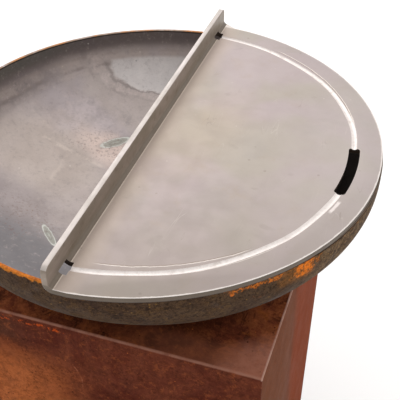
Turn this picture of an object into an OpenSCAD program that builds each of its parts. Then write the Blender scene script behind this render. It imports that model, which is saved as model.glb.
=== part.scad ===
// Dished steel fire bowl on a square weathering-steel pedestal, with a loose half-round griddle plate.
// Millimetres, +Z up. The origin lies on the ground, on the axis of the bowl and of the pedestal.
// +X points from the open half of the bowl to the half that the griddle covers.

/* [Pedestal] */
// Width and depth of the square pedestal
pedestal_w = 500; // [460:5:560]
// Height of the pedestal's top above the ground
pedestal_h = 700; // [400:10:900]
// Thickness of the weathering-steel sheet
sheet_t = 3; // [2:0.5:4]
// Outer radius of the folds along the front and back edges of the top
fold_r = 5; // [4.5:0.5:10]
// Width of the flat bars that frame the open bottom
rail_w = 40; // [25:1:60]
// Thickness of those flat bars
rail_t = 5; // [3:0.5:8]
// Depth of the stiffening ribs under the top
rib_h = 40; // [25:1:60]
// Thickness of the stiffening ribs
rib_t = 4; // [3:0.5:8]

/* [Fire bowl] */
// Outside diameter of the bowl's rim
bowl_d = 700; // [670:5:730]
// Wall thickness of the bowl
bowl_t = 5; // [4:0.5:8]
// Height of the straight wall at the rim
bowl_straight = 14; // [10:1:30]
// Outer radius of the knuckle between the straight wall and the dish
knuckle_r = 98; // [60:1:110]
// Outer radius of the shallow dish
crown_r = 700; // [660:5:800]
// Height of the rim above the pedestal's top
rim_rise = 203; // [195:1:240]

/* [Feet] */
// Distance of each foot from the bowl's axis
foot_radius = 190; // [150:1:205]
// Width of the flat bar that each foot is cut from
foot_w = 50; // [40:1:60]
// Thickness of that flat bar
foot_t = 8; // [6:1:12]
// Throat radius of the fillet weld along each side of a foot
weld_r = 5; // [4:0.5:8]

/* [Griddle] */
// Radius of the griddle's round edge
griddle_r = 366; // [355:1:380]
// Distance of the round edge's centre behind the bowl's axis
griddle_back = 18; // [10:1:22]
// Thickness of the griddle plate
griddle_t = 8; // [6:0.5:12]
// Height of the folded upstand above the plate's upper face
upstand_h = 32; // [25:1:60]
// Inner radius of the fold at the foot of the upstand
griddle_fold_r = 7; // [6:0.5:10]
// Distance from the round edge's centre to the outer face of the upstand
upstand_x = 6; // [4:0.5:10]
// Radius of the upstand's upper corners
upstand_corner_r = 10; // [6:1:16]

/* [Grease groove] */
// Radius of the middle of the groove
groove_r = 324; // [321:1:327]
// Width of the groove at the plate's face
groove_w = 9; // [6:0.5:12]
// Depth of the groove
groove_depth = 2.5; // [1.5:0.25:3]
// Width of the curved slot at the top of the arc
slot_w = 17; // [13:0.5:20]
// Angle at which the slot starts, seen from the round edge's centre
slot_start = -11.5; // [-15:0.5:-9]
// Angle at which the slot ends
slot_end = 9; // [6:0.5:12]
// Radius of the slot's corners
slot_corner_r = 4.5; // [3:0.5:6]
// Width of each window where the groove meets the upstand
window_w = 24; // [18:0.5:26]
// How far each window reaches into the plate from the upstand's inner face
window_reach = 11; // [9:0.5:14]
// How far each window reaches up the upstand from the plate's upper face
window_rise = 4; // [3:0.5:8]

/* [Hidden] */
$fn = 120;
// Finer steps for the bowl, whose radii are large
bowl_fn = 360;

// Margin by which a cutting shape passes the faces that it cuts
cut = 1;

half_w = pedestal_w / 2;
inner_half = half_w - sheet_t;
rim_z = pedestal_h + rim_rise;

// Stitch welds inside the pedestal
stitch_leg = 5;
stitch_len = 50;
stitch_margin = 80;
stitch_heights = [stitch_margin, (pedestal_h - stitch_len) / 2, pedestal_h - stitch_margin - stitch_len];
// Distance of the stitches along the top from the middle of the side
stitch_offset = 0.3 * pedestal_w;

// Centres of the bowl's knuckle and dish, as distance from the axis and height
knuckle_x = bowl_d / 2 - knuckle_r;
knuckle_z = rim_z - bowl_straight;
crown_z = knuckle_z + sqrt(pow(crown_r - knuckle_r, 2) - pow(knuckle_x, 2));
// The dish meets the knuckle tangentially on the line through both centres
join_slope = knuckle_x / (crown_r - knuckle_r);

foot_angles = [-45, 45, 135, 225];

// Half length of the upstand and of the fold at its foot
upstand_half = griddle_r - 2;
slot_inner_r = groove_r - slot_w / 2;
slot_outer_r = groove_r + slot_w / 2;

weathering = [0.42, 0.22, 0.15];
mill_scale = [0.33, 0.30, 0.28];
weld_grey = [0.45, 0.42, 0.40];
bare_steel = [0.76, 0.72, 0.69];

// ---- Outlines ----

// A wall outline, w wide and h high from the ground, with its two upper corners rounded
module arch_outline(w, h, r) {
    translate([-w / 2, 0])
        square([w, h - r]);
    translate([-w / 2 + r, 0])
        square([w - 2 * r, h]);
    for (side = [-1, 1])
        translate([side * (w / 2 - r), h - r])
            circle(r);
}

// The half section enclosed by the bowl's outer face, or by a face inset from it
module bowl_section(inset) {
    wall_x = bowl_d / 2 - inset;
    wall_h = bowl_straight + (inset > 0 ? cut : 0);
    dish_r = crown_r - inset;
    // Straight wall and all that it encloses
    translate([0, knuckle_z])
        square([wall_x, wall_h]);
    // Knuckle
    intersection() {
        translate([knuckle_x, knuckle_z])
            circle(knuckle_r - inset);
        square([bowl_d, knuckle_z + wall_h / 2]);
    }
    // Dish, as far out as its tangent point with the knuckle
    intersection() {
        translate([0, crown_z])
            circle(dish_r);
        square([dish_r * join_slope, knuckle_z + wall_h / 2]);
    }
}

// Everything inside the bowl's outer face
module bowl_envelope() {
    rotate_extrude($fn = bowl_fn)
        bowl_section(0, $fn = bowl_fn);
}

// ---- Pedestal ----

// One sheet folded over the top: front wall, top and back wall
module pedestal_shell() {
    color(weathering)
        rotate([90, 0, 90])
            translate([0, 0, -half_w])
                linear_extrude(pedestal_w)
                    difference() {
                        arch_outline(pedestal_w, pedestal_h, fold_r);
                        translate([0, -cut])
                            arch_outline(2 * inner_half, pedestal_h - sheet_t + cut, fold_r - sheet_t);
                    }
}

// A side wall, let into the folded shell and flush with its end
module side_panel() {
    rotate([90, 0, 90])
        translate([0, 0, inner_half])
            linear_extrude(sheet_t)
                arch_outline(2 * inner_half, pedestal_h - sheet_t, fold_r - sheet_t);
}

module right_panel() {
    color(weathering)
        side_panel();
}

module left_panel() {
    color(weathering)
        mirror([1, 0, 0])
            side_panel();
}

// A stitch of fillet weld that runs up +Z from the origin, filling the corner between -X and -Y faces
module weld_stitch() {
    linear_extrude(stitch_len)
        polygon([[0, 0], [stitch_leg, 0], [0, stitch_leg]]);
}

// Stitch welds inside the vertical corners and along the side panels' upper edges
module seam_welds() {
    color(weld_grey)
        for (side_x = [0, 1], side_y = [0, 1])
            mirror([side_x, 0, 0])
                mirror([0, side_y, 0]) {
                    for (z = stitch_heights)
                        translate([-inner_half, -inner_half, z])
                            weld_stitch();
                    translate([-inner_half, -stitch_offset, pedestal_h - sheet_t])
                        rotate([-90, 0, 0])
                            weld_stitch();
                }
}

// The rib that runs from side panel to side panel under the middle of the top
module rib_cross() {
    color(weathering)
        translate([-inner_half, -rib_t / 2, pedestal_h - sheet_t - rib_h])
            cube([2 * inner_half, rib_t, rib_h]);
}

// Half of the rib across the first, from it to the front or back wall
module half_rib() {
    translate([-rib_t / 2, rib_t / 2, pedestal_h - sheet_t - rib_h])
        cube([rib_t, inner_half - fold_r - rib_t / 2, rib_h]);
}

module rib_front() {
    color(weathering)
        mirror([0, 1, 0])
            half_rib();
}

module rib_back() {
    color(weathering)
        half_rib();
}

// A flat bar on the ground along the front wall, with its ends mitred to meet its neighbours
module base_rail() {
    linear_extrude(rail_t)
        polygon([
            [-inner_half, -inner_half],
            [inner_half, -inner_half],
            [inner_half - rail_w, rail_w - inner_half],
            [rail_w - inner_half, rail_w - inner_half]
        ]);
}

module base_rail_front() {
    color(weathering)
        base_rail();
}

module base_rail_right() {
    color(weathering)
        rotate(90)
            base_rail();
}

module base_rail_back() {
    color(weathering)
        rotate(180)
            base_rail();
}

module base_rail_left() {
    color(weathering)
        rotate(270)
            base_rail();
}

// ---- Fire bowl ----

module fire_bowl() {
    color(mill_scale)
        rotate_extrude($fn = bowl_fn)
            difference() {
                bowl_section(0, $fn = bowl_fn);
                bowl_section(bowl_t, $fn = bowl_fn);
            }
}

// The flat bar of a foot before its upper end is cut to the bowl
module foot_bar() {
    translate([foot_radius - foot_t / 2, -foot_w / 2, pedestal_h])
        cube([foot_t, foot_w, rim_rise]);
}

// A foot at the given angle round the bowl, its upper end cut to fit the dish
module foot(angle) {
    color(mill_scale)
        difference() {
            rotate(angle)
                intersection() {
                    foot_bar();
                    translate([0, -foot_w, pedestal_h])
                        cube([bowl_d, 2 * foot_w, knuckle_z - pedestal_h]);
                }
            bowl_envelope();
        }
}

module foot_front_right() {
    foot(foot_angles[0]);
}

module foot_back_right() {
    foot(foot_angles[1]);
}

module foot_back_left() {
    foot(foot_angles[2]);
}

module foot_front_left() {
    foot(foot_angles[3]);
}

// The height at which the dish's outer face crosses a given distance from the axis
function dish_height(x) = crown_z - sqrt(pow(crown_r, 2) - pow(x, 2));

// A rod of weld metal along the line where one face of a foot meets the dish
module weld_rod(face_x) {
    translate([face_x, 0, dish_height(face_x)])
        rotate([90, 0, 0])
            cylinder(h = foot_w - 4, r = weld_r, center = true);
}

// Fillet welds along both faces of every foot, under the dish
module foot_welds() {
    color(weld_grey)
        difference() {
            for (angle = foot_angles, side = [-1, 1])
                rotate(angle)
                    weld_rod(foot_radius + side * foot_t / 2);
            bowl_envelope();
            for (angle = foot_angles)
                rotate(angle)
                    foot_bar();
        }
}

// ---- Griddle ----
// The griddle is drawn from the centre of its round edge, with its lower face at height 0.

// The flat half disc beyond the fold
module griddle_disc() {
    intersection() {
        cylinder(h = griddle_t, r = griddle_r);
        translate([upstand_x + griddle_t + griddle_fold_r, -upstand_half, 0])
            cube([griddle_r, 2 * upstand_half, griddle_t]);
    }
}

// The quarter-round fold between the plate and the upstand
module griddle_fold() {
    outer_r = griddle_t + griddle_fold_r;
    translate([upstand_x + outer_r, upstand_half, outer_r])
        rotate([90, 0, 0])
            linear_extrude(2 * upstand_half)
                intersection() {
                    difference() {
                        circle(outer_r);
                        circle(griddle_fold_r);
                    }
                    translate([-outer_r, -outer_r])
                        square(outer_r);
                }
}

// The upright wall above the fold, with rounded upper corners
module griddle_upstand() {
    foot_z = griddle_t + griddle_fold_r;
    translate([upstand_x, 0, foot_z])
        rotate([90, 0, 90])
            linear_extrude(griddle_t)
                arch_outline(2 * upstand_half, upstand_h - griddle_fold_r, upstand_corner_r);
}

// The milled channel for fat, from window to window
module groove_cutter() {
    rotate_extrude()
        translate([groove_r, griddle_t])
            polygon([
                [-groove_w / 2, cut],
                [-groove_w / 2, 0],
                [-groove_w / 4, -groove_depth],
                [groove_w / 4, -groove_depth],
                [groove_w / 2, 0],
                [groove_w / 2, cut]
            ]);
}

// A point at a radius and an angle
function polar(r, angle) = r * [cos(angle), sin(angle)];

// Points along an arc about a centre
function arc_points(centre, r, from_angle, to_angle, steps) = [
    for (i = [0:steps])
        centre + polar(r, from_angle + (to_angle - from_angle) * i / steps)
];

// Points round a corner of the slot, whose centre lies at a radius and an angle
function slot_corner(centre_r, centre_angle, from_angle, to_angle) =
    arc_points(polar(centre_r, centre_angle), slot_corner_r, from_angle, to_angle, 8);

// The curved slot through the plate, with rounded corners
module slot_cutter() {
    inner_centre_r = slot_inner_r + slot_corner_r;
    outer_centre_r = slot_outer_r - slot_corner_r;
    inner_turn = asin(slot_corner_r / inner_centre_r);
    outer_turn = asin(slot_corner_r / outer_centre_r);
    // Angles at which the long arcs end and the corners begin
    outer_from = slot_start + outer_turn;
    outer_to = slot_end - outer_turn;
    inner_from = slot_start + inner_turn;
    inner_to = slot_end - inner_turn;
    // Angles at which the corners meet the slot's two ends
    start_face = slot_start - 90;
    end_face = slot_end + 90;
    // The first or last step of a corner that would repeat a point of its neighbour is left out
    corner_step = 10;
    translate([0, 0, -cut])
        linear_extrude(griddle_t + 2 * cut)
            polygon(concat(
                arc_points([0, 0], slot_outer_r, outer_from, outer_to, 16),
                slot_corner(outer_centre_r, outer_to, outer_to + corner_step, end_face),
                slot_corner(inner_centre_r, inner_to, end_face, inner_to + 180 - corner_step),
                arc_points([0, 0], slot_inner_r, inner_to, inner_from, 16),
                slot_corner(inner_centre_r, inner_from, inner_from - 180 + corner_step, start_face),
                slot_corner(outer_centre_r, outer_from, start_face, outer_from - corner_step)
            ));
}

// The window through the fold at one end of the groove
module window_cutter(side) {
    translate([upstand_x - cut, side * groove_r - window_w / 2, -cut])
        cube([griddle_t + window_reach + cut, window_w, griddle_t + window_rise + cut]);
}

module griddle_plate() {
    color(bare_steel)
        translate([-griddle_back, 0, rim_z])
            difference() {
                union() {
                    griddle_disc();
                    griddle_fold();
                    griddle_upstand();
                }
                intersection() {
                    groove_cutter();
                    translate([upstand_x + griddle_t + window_reach - cut, -griddle_r, 0])
                        cube([2 * griddle_r, 2 * griddle_r, 2 * griddle_t]);
                }
                slot_cutter();
                for (side = [-1, 1])
                    window_cutter(side);
            }
}

pedestal_shell();
right_panel();
left_panel();
seam_welds();
rib_cross();
rib_front();
rib_back();
base_rail_front();
base_rail_right();
base_rail_back();
base_rail_left();
fire_bowl();
foot_front_right();
foot_back_right();
foot_back_left();
foot_front_left();
foot_welds();
griddle_plate();
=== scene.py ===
"""Steel fire bowl on a weathering-steel pedestal, with a loose half-round griddle plate.

Metres, +Z up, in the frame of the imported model. The visible steel is rebuilt as detailed meshes around the
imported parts, and every surface gets a procedural material.
"""

import math
import random

import bmesh
import bpy
from mathutils import Matrix, Vector


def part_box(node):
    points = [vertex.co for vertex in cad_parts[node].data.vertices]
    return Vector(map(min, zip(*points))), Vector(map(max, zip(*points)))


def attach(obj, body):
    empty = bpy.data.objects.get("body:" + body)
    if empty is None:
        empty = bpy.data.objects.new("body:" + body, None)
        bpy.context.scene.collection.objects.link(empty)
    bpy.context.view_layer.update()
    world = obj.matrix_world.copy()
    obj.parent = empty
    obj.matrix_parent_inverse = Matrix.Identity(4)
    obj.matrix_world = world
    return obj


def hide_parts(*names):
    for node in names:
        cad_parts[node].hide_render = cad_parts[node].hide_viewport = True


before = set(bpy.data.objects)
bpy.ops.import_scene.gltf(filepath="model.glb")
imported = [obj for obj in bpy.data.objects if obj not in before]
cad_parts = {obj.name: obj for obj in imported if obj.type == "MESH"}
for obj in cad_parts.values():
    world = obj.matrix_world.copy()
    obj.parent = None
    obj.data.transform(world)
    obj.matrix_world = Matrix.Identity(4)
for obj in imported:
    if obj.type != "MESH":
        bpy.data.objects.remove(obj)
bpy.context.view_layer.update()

MM = 0.001

# ---------------------------------------------------------------- sizes from the frame

bowl_low, bowl_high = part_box("fire_bowl")
BOWL_R = (bowl_high[0] - bowl_low[0]) / 2
RIM_Z = bowl_high[2]
shell_low, shell_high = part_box("pedestal_shell")
HALF_W = (shell_high[0] - shell_low[0]) / 2
TOP_Z = shell_high[2]
UPSTAND_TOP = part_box("griddle_plate")[1][2]

# Design values that the frame's boxes don't give
BOWL_T = 5 * MM
BOWL_STRAIGHT = 14 * MM
RIM_CHAMFER = 0.8 * MM
KNUCKLE_R = 98 * MM
CROWN_R = 700 * MM
SHEET_T = 3 * MM
FOLD_R = 5 * MM
GRIDDLE_R = 366 * MM
GRIDDLE_BACK = 18 * MM
GRIDDLE_T = 8 * MM
GRIDDLE_FOLD_R = 7 * MM
UPSTAND_X = 6 * MM
UPSTAND_HALF = GRIDDLE_R - 2 * MM
UPSTAND_CORNER_R = 10 * MM
UPSTAND_OVER = 12 * MM
# From this far above the plate the fold has the upstand's finish, with its painted shade
FOLD_LINE = 0.1 * MM
GROOVE_R = 324 * MM
GROOVE_W = 9 * MM
GROOVE_DEPTH = 2.2 * MM
SLOT_HALF_W = 8.5 * MM
SLOT_FROM, SLOT_TO = math.radians(-11.5), math.radians(9)
SLOT_CORNER_R = 4.5 * MM
WINDOW_W = 24 * MM
WINDOW_REACH = 11 * MM
WINDOW_RISE = 4 * MM
FOOT_RADIUS = 190 * MM
FOOT_ANGLES = (-45, 45, 135, 225)

PLATE_TOP = RIM_Z + GRIDDLE_T
KNUCKLE_X = BOWL_R - KNUCKLE_R
KNUCKLE_Z = RIM_Z - BOWL_STRAIGHT
CROWN_Z = KNUCKLE_Z + math.sqrt((CROWN_R - KNUCKLE_R) ** 2 - KNUCKLE_X ** 2)
JOIN_ANGLE = math.asin(KNUCKLE_X / (CROWN_R - KNUCKLE_R))


def below_rim(depth):
    """The height that lies this many millimetres below the bowl's rim."""
    return RIM_Z - depth * MM


# ---------------------------------------------------------------- mesh helpers

def new_object(name, verts, faces, materials=(), body=None, replaces=(), slot=None):
    """A mesh object in the model's frame, with outward normals. With a body it rides on that body."""
    mesh = bpy.data.meshes.new(name)
    mesh.from_pydata([tuple(v) for v in verts], [], faces)
    bm = bmesh.new()
    bm.from_mesh(mesh)
    bmesh.ops.recalc_face_normals(bm, faces=bm.faces)
    bm.to_mesh(mesh)
    bm.free()
    obj = bpy.data.objects.new(name, mesh)
    bpy.context.scene.collection.objects.link(obj)
    for material in materials:
        mesh.materials.append(material)
    if body:
        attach(obj, body)
    if replaces:
        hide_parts(*replaces)
    return obj


def bake_modifiers(obj):
    """Replaces the object's mesh with its modified mesh."""
    depsgraph = bpy.context.evaluated_depsgraph_get()
    mesh = bpy.data.meshes.new_from_object(obj.evaluated_get(depsgraph))
    obj.modifiers.clear()
    obj.data = mesh


def bevel(obj, width, segments=2, angle=35, material=-1):
    modifier = obj.modifiers.new("bevel", "BEVEL")
    modifier.width = width
    modifier.segments = segments
    modifier.limit_method = "ANGLE"
    modifier.angle_limit = math.radians(angle)
    modifier.material = material
    bake_modifiers(obj)


def cut_with(obj, cutter, material):
    """Subtracts the cutter from the object and deletes it. The cut faces take the material index."""
    for polygon in cutter.data.polygons:
        polygon.material_index = material
    modifier = obj.modifiers.new("cut", "BOOLEAN")
    modifier.operation = "DIFFERENCE"
    modifier.solver = "EXACT"
    modifier.object = cutter
    bake_modifiers(obj)
    bpy.data.objects.remove(cutter)


def smooth(obj, angle=35):
    """Smooth shading, with edges sharper than the angle kept crisp."""
    mesh = obj.data
    for polygon in mesh.polygons:
        polygon.use_smooth = True
    bm = bmesh.new()
    bm.from_mesh(mesh)
    for edge in bm.edges:
        edge.smooth = not (edge.is_manifold and edge.calc_face_angle(0) > math.radians(angle))
    bm.to_mesh(mesh)
    bm.free()


def arc(centre, radius, from_angle, to_angle, steps):
    """Points along an arc, angles in radians."""
    return [
        (centre[0] + radius * math.cos(from_angle + (to_angle - from_angle) * i / steps),
         centre[1] + radius * math.sin(from_angle + (to_angle - from_angle) * i / steps))
        for i in range(steps + 1)
    ]


def prism(outline, low, high):
    """Vertices and faces of an outline extruded along Z."""
    n = len(outline)
    verts = [(x, y, z) for z in (low, high) for x, y in outline]
    faces = [list(range(n))[::-1], [n + i for i in range(n)]]
    for i in range(n):
        j = (i + 1) % n
        faces.append([i, j, n + j, n + i])
    return verts, faces


# ---------------------------------------------------------------- materials

def srgb(red, green, blue):
    """A display colour, 0 to 255 a channel, as the linear values that a shader takes."""
    return tuple(((c / 255 + 0.055) / 1.055) ** 2.4 for c in (red, green, blue))


class Nodes:
    """Short names for the shader nodes of a material. Lengths are metres. colour is its colour so far."""

    def __init__(self, name):
        self.material = bpy.data.materials.new(name)
        self.material.use_nodes = True
        self.tree = self.material.node_tree
        self.tree.nodes.clear()
        output = self.add("ShaderNodeOutputMaterial")
        self.shader = self.add("ShaderNodeBsdfPrincipled")
        self.join(self.shader.outputs["BSDF"], output.inputs["Surface"])
        self.place = self.add("ShaderNodeTexCoord").outputs["Object"]

    def add(self, kind, **settings):
        node = self.tree.nodes.new(kind)
        for key, value in settings.items():
            setattr(node, key, value)
        return node

    def join(self, source, target):
        """Links an output to a socket, or sets the socket to a value."""
        if isinstance(source, bpy.types.NodeSocket):
            self.tree.links.new(source, target)
        else:
            target.default_value = source

    def mapped(self, stretch, offset):
        mapping = self.add("ShaderNodeMapping")
        mapping.inputs["Scale"].default_value = stretch
        mapping.inputs["Location"].default_value = offset
        self.join(self.place, mapping.inputs["Vector"])
        return mapping.outputs["Vector"]

    def noise(self, scale, detail=4.0, rough=0.55, twist=0.0, stretch=(1, 1, 1), seed=0.0, out="Fac"):
        node = self.add("ShaderNodeTexNoise")
        node.inputs["Scale"].default_value = scale
        node.inputs["Detail"].default_value = detail
        node.inputs["Roughness"].default_value = rough
        node.inputs["Distortion"].default_value = twist
        self.join(self.mapped(stretch, (seed, seed * 0.7, seed * 0.3)), node.inputs["Vector"])
        return node.outputs[out]

    def warped(self, scale, amount, seed=0.0):
        """The place, moved about by noise, for ragged outlines."""
        shift = self.add("ShaderNodeVectorMath", operation="MULTIPLY_ADD")
        self.join(self.noise(scale, 4, 0.6, seed=seed, out="Color"), shift.inputs[0])
        shift.inputs[1].default_value = (2 * amount,) * 3
        shift.inputs[2].default_value = (-amount,) * 3
        total = self.add("ShaderNodeVectorMath", operation="ADD")
        self.join(self.place, total.inputs[0])
        self.join(shift.outputs[0], total.inputs[1])
        return total.outputs[0]

    def ramp(self, value, low, high, out_low=0.0, out_high=1.0):
        node = self.add("ShaderNodeMapRange", interpolation_type="SMOOTHSTEP")
        self.join(value, node.inputs["Value"])
        node.inputs["From Min"].default_value = low
        node.inputs["From Max"].default_value = high
        node.inputs["To Min"].default_value = out_low
        node.inputs["To Max"].default_value = out_high
        return node.outputs["Result"]

    def math(self, operation, a, b=0.0):
        node = self.add("ShaderNodeMath", operation=operation)
        self.join(a, node.inputs[0])
        self.join(b, node.inputs[1])
        return node.outputs[0]

    def times(self, first, *factors):
        for factor in factors:
            first = self.math("MULTIPLY", first, factor)
        return first

    def band(self, value, middle, half, soft):
        """1 within half of the middle, falling to 0 over soft."""
        return self.ramp(self.math("ABSOLUTE", self.math("SUBTRACT", value, middle)), half, half + soft, 1, 0)

    def mix(self, amount, a, b):
        node = self.add("ShaderNodeMix", data_type="RGBA")
        self.join(amount, node.inputs["Factor"])
        for value, socket in ((a, node.inputs[6]), (b, node.inputs[7])):
            self.join((*value, 1.0) if isinstance(value, tuple) else value, socket)
        return node.outputs[2]

    def lay(self, amount, tone):
        """Lays a tone over the colour so far."""
        self.colour = self.mix(amount, self.colour, tone)

    def axes(self, place=None):
        node = self.add("ShaderNodeSeparateXYZ")
        self.join(place or self.place, node.inputs[0])
        return node.outputs[0], node.outputs[1], node.outputs[2]

    def polar(self, place=None, centre_x=0.0):
        """Distance from a vertical axis, and the angle about it in degrees."""
        x, y, _ = self.axes(place)
        x = self.math("SUBTRACT", x, centre_x)
        distance = self.math("SQRT", self.math("ADD", self.times(x, x), self.times(y, y)))
        return distance, self.math("DEGREES", self.math("ARCTAN2", y, x))

    def local(self, centre, half_x, half_y, turn, place=None):
        """The place seen from a centre on the plan, turned by degrees, in units of the half lengths."""
        mapping = self.add("ShaderNodeMapping", vector_type="TEXTURE")
        mapping.inputs["Location"].default_value = (*centre, 0)
        mapping.inputs["Rotation"].default_value = (0, 0, math.radians(turn))
        mapping.inputs["Scale"].default_value = (half_x, half_y, 1)
        self.join(place or self.place, mapping.inputs["Vector"])
        return self.axes(mapping.outputs["Vector"])

    def ellipse(self, centre, half_x, half_y, turn=0.0, place=None):
        """Distance from a centre on the plan, 1 at the edge of the ellipse."""
        x, y, _ = self.local(centre, half_x, half_y, turn, place)
        return self.math("SQRT", self.math("ADD", self.times(x, x), self.times(y, y)))

    def line(self, start, end, half_width, soft, place=None):
        """1 on a straight line on the plan between two points, falling to 0 beside it."""
        dx, dy = end[0] - start[0], end[1] - start[1]
        centre = ((start[0] + end[0]) / 2, (start[1] + end[1]) / 2)
        turn = math.degrees(math.atan2(dy, dx))
        x, y, _ = self.local(centre, math.hypot(dx, dy) / 2, half_width, turn, place)
        along = self.ramp(self.math("ABSOLUTE", x), 0.8, 1, 1, 0)
        across = self.ramp(self.math("ABSOLUTE", y), 1, 1 + soft / half_width, 1, 0)
        return self.times(along, across)

    def specks(self, scale, size, seed=0.0, share=1.0):
        """Small round dots in a share of the cells of a grid of this scale."""
        node = self.add("ShaderNodeTexVoronoi")
        node.inputs["Scale"].default_value = scale
        self.join(self.mapped((1, 1, 1), (seed, seed, seed)), node.inputs["Vector"])
        dots = self.ramp(node.outputs["Distance"], size * 0.6, size, 1, 0)
        red = self.add("ShaderNodeSeparateColor")
        self.join(node.outputs["Color"], red.inputs[0])
        return self.times(dots, self.ramp(red.outputs[0], share - 0.01, share, 1, 0))

    def scratches(self, scale, stretch, turn, keep, seed=0.0):
        """Thin lines along one direction of the plan. A smaller keep makes them thinner."""
        turned = self.add("ShaderNodeMapping")
        turned.inputs["Rotation"].default_value = (0, 0, math.radians(turn))
        turned.inputs["Scale"].default_value = (1, 1 / stretch, 1)
        turned.inputs["Location"].default_value = (seed, seed, seed)
        self.join(self.place, turned.inputs["Vector"])
        node = self.add("ShaderNodeTexNoise")
        node.inputs["Scale"].default_value = scale
        node.inputs["Detail"].default_value = 1
        self.join(turned.outputs["Vector"], node.inputs["Vector"])
        return self.band(node.outputs["Fac"], 0.62, keep, keep)

    def worn_edge(self, radius):
        """1 where the surface turns sharply within the radius."""
        rounded = self.add("ShaderNodeBevel", samples=6)
        rounded.inputs["Radius"].default_value = radius
        flat = self.add("ShaderNodeNewGeometry").outputs["Normal"]
        dot = self.add("ShaderNodeVectorMath", operation="DOT_PRODUCT")
        self.join(rounded.outputs[0], dot.inputs[0])
        self.join(flat, dot.inputs[1])
        return self.ramp(self.math("SUBTRACT", 1.0, dot.outputs["Value"]), 0.02, 0.2)

    def finish(self, roughness, metallic, specular, height, depth):
        """Sets the shader. The bump height runs from 0 to 1 over the depth."""
        bump = self.add("ShaderNodeBump")
        bump.inputs["Strength"].default_value = 1.0
        bump.inputs["Distance"].default_value = depth
        self.join(height, bump.inputs["Height"])
        self.join(bump.outputs["Normal"], self.shader.inputs["Normal"])
        self.join(self.colour, self.shader.inputs["Base Color"])
        self.join(roughness, self.shader.inputs["Roughness"])
        self.shader.inputs["Metallic"].default_value = metallic
        self.shader.inputs["Specular IOR Level"].default_value = specular
        return self.material


def griddle_steel():
    """Satin bare steel: warm grey with lilac and beige clouds, faint specks, stains and scribed lines."""
    n = Nodes("griddle_steel")
    x, y, _ = n.axes()
    n.colour = n.mix(n.ramp(n.noise(5.5, 3, 0.5, 0.6), 0.38, 0.62), srgb(170, 160, 150), srgb(175, 161, 160))
    n.lay(n.times(n.ramp(n.noise(9, 4, 0.6, 1.0, seed=3), 0.5, 0.7), 0.5), srgb(162, 153, 146))
    n.lay(n.times(n.ramp(n.noise(22, 5, 0.7, 0.4, seed=5), 0.52, 0.75), 0.35), srgb(168, 151, 134))
    n.lay(n.ramp(x, 0.16, 0.32, 0.0, 0.5), srgb(186, 175, 172))
    warm = n.ramp(n.ellipse((0.07, 0.02), 0.07, 0.16, -10, n.warped(10, 0.04)), 0.2, 1.2, 0.35, 0.0)
    n.lay(warm, srgb(176, 158, 138))
    # Darker towards the near end. Lighter beside the fold: painted light against the shade that the upstand
    # casts there
    n.lay(n.ramp(y, 0.05, -0.40, 0.0, 0.55), srgb(142, 130, 121))
    local_x = n.math("ADD", x, GRIDDLE_BACK)
    fold_side_light = n.ramp(n.math("ADD", local_x, n.times(n.noise(14, 3), 0.02)), 0.036, 0.075, 0.7, 0.0)
    n.lay(fold_side_light, srgb(190, 173, 160))
    # Painted highlight: a thin light line along the foot of the fold
    fold_foot_highlight = n.times(n.band(local_x, 0.0205, 0.0006, 0.0006), n.ramp(n.noise(60, 3), 0.3, 0.5, 0.3, 0.8))
    n.lay(fold_foot_highlight, srgb(220, 206, 192))
    # Specks, stains and scratches
    n.lay(n.times(n.specks(38, 0.10, 1, 0.16), 0.35), srgb(126, 114, 104))
    n.lay(n.times(n.specks(70, 0.07, 4, 0.08), 0.6), srgb(222, 212, 204))
    smudge = n.times(n.ramp(n.noise(26, 3, 0.5, 0.3, seed=9), 0.66, 0.74), 0.22)
    n.lay(smudge, srgb(136, 126, 118))
    fine = n.scratches(55, 9, 8, 0.0025, 2)
    patchy = n.ramp(n.noise(12, 3, seed=7), 0.5, 0.65)
    n.lay(n.times(fine, patchy, 0.25), srgb(208, 197, 188))
    n.lay(n.times(n.scratches(60, 5, -38, 0.002, 6), patchy, 0.3), srgb(136, 126, 118))
    n.lay(n.times(n.noise(420, 3, 0.7), 0.12), srgb(146, 136, 128))
    # Slips of the grinder beside the groove: one smear outside it and thin light lines on both sides, each
    # with a painted shadow just inside it
    distance, angle = n.polar(n.warped(90, 0.0016), -GRIDDLE_BACK)
    smear = n.times(n.band(distance, 0.3325, 1.6 * MM, 1.6 * MM), n.band(angle, -16.8, 1.8, 1.2))
    n.lay(n.times(smear, n.ramp(n.noise(120, 3), 0.3, 0.5, 0.4, 0.8)), srgb(232, 222, 218))
    for at_zero, growth, middle, reach, strength in (
        (327.3, 0.119, 43, 20, 0.9), (325.0, 0.20, -62, 16, 0.7), (330.5, 0.02, -48, 8, 0.4)
    ):
        offset = n.math("SUBTRACT", distance, n.times(angle, growth * MM))
        along = n.times(n.band(angle, middle, reach, 4), strength)
        n.lay(n.times(n.band(offset, at_zero * MM, 0.3 * MM, 0.5 * MM), along), srgb(240, 230, 222))
        # Painted shadow: a darker line along the inner side of each light line
        dark = n.band(offset, (at_zero - 1.4) * MM, 0.4 * MM, 0.7 * MM)
        n.lay(n.times(dark, along, 0.7), srgb(126, 108, 94))
    # Brighter at the arrises: a painted highlight along the round sheared arris, and lighter worn edges
    n.lay(n.ramp(distance, GRIDDLE_R - 2.2 * MM, GRIDDLE_R - 1.5 * MM, 0.0, 0.6), srgb(244, 236, 230))
    n.lay(n.times(n.worn_edge(1.5 * MM), 0.6), srgb(218, 208, 200))
    roughness = n.ramp(n.noise(30, 4, 0.6, seed=2), 0.3, 0.7, 0.46, 0.56)
    height = n.math("ADD", n.noise(900, 3, 0.6), n.times(fine, -0.5))
    return n.finish(roughness, 0.55, 0.5, height, 0.05 * MM)


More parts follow.
